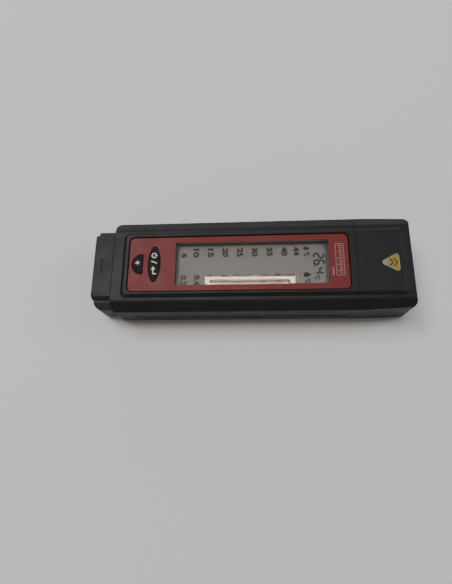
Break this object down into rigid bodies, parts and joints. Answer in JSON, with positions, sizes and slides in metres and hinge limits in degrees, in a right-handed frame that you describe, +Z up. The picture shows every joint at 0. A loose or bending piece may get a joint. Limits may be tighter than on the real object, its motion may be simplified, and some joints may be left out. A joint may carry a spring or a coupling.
{
  "type": "pin moisture meter",
  "caption": "Slim handheld pin-type moisture meter with display, push buttons, a sliding battery drawer and a pull-off cap over its electrode needles.",
  "frame": {"origin": "centre of the resting face, under the middle of the whole object", "axes": "+X along the meter towards the needles and cap, +Y to the left of that direction, +Z up out of the display"},
  "size_m": [0.132, 0.04, 0.02],
  "materials": {
    "casing": "fine satin moulding texture",
    "screw_steel": "zinc plated",
    "grip": "soft matte",
    "panel": "satin",
    "window": "clear polished",
    "button": "fine matte texture",
    "switch_body": "moulded",
    "switch_plunger": "moulded",
    "holder": "moulded",
    "lcd_film": "grey-green film with dark segments",
    "lcd_glass": "clear",
    "reflector": "pearl film",
    "light_guide": "milky",
    "led": "cast",
    "elastomer": "soft",
    "board": "solder mask",
    "epoxy": "cast",
    "resistor": "fired",
    "capacitor": "sleeved",
    "crystal_can": "plated",
    "brass": "turned",
    "needle_steel": "ground and polished",
    "contact": "nickel plated",
    "cell_steel": "nickel plated",
    "cap_label": "coated, blank",
    "rear_label": "coated, blank"
  },
  "bodies": {
    "housing": {"upper_housing": "casing", "lower_housing": "casing", "housing_screws": "screw_steel", "left_grip_insert": "grip", "right_grip_insert": "grip", "front_panel": "panel", "display_window": "window", "on_set_switch_base": "switch_body", "lamp_switch_base": "switch_body", "lcd_holder": "holder", "lcd_polarizer": "lcd_film", "lcd_front_glass": "lcd_glass", "lcd_rear_glass": "lcd_glass", "lcd_reflector": "reflector", "backlight_guide": "light_guide", "backlight_leds": "led", "zebra_connectors": "elastomer", "main_board": "board", "board_screws": "screw_steel", "controller_chip": "epoxy", "board_resistors": "resistor", "board_capacitors": "capacitor", "crystal": "crystal_can", "thermistor": "epoxy", "electrode_holder": "holder", "left_needle_socket": "brass", "right_needle_socket": "brass", "left_electrode_needle": "needle_steel", "right_electrode_needle": "needle_steel", "left_electrode_tab": "contact", "right_electrode_tab": "contact", "positive_battery_contact": "contact", "negative_battery_contact": "contact", "rear_label": "rear_label"},
    "cap": {"protective_cap": "casing", "cap_label": "cap_label"},
    "on_set_key": {"on_set_button": "button", "on_set_switch_plunger": "switch_plunger"},
    "lamp_key": {"lamp_button": "button", "lamp_switch_plunger": "switch_plunger"},
    "drawer": {"battery_drawer": "casing", "lower_coin_cell": "cell_steel", "middle_coin_cell": "cell_steel", "upper_coin_cell": "cell_steel"}
  },
  "joints": [
    {"name": "cap_slide", "type": "slide", "parent": "housing", "child": "cap", "axis": [1, 0, 0], "range_m": [0, 0.03]},
    {"name": "on_set_press", "type": "slide", "parent": "housing", "child": "on_set_key", "axis": [0, 0, -1], "range_m": [0, 0.0005], "stiffness_N_per_m": 1500, "springref_m": -0.0001},
    {"name": "lamp_press", "type": "slide", "parent": "housing", "child": "lamp_key", "axis": [0, 0, -1], "range_m": [0, 0.0005], "stiffness_N_per_m": 1500, "springref_m": -0.0001},
    {"name": "drawer_slide", "type": "slide", "parent": "housing", "child": "drawer", "axis": [-1, 0, 0], "range_m": [0, 0.022]}
  ]
}
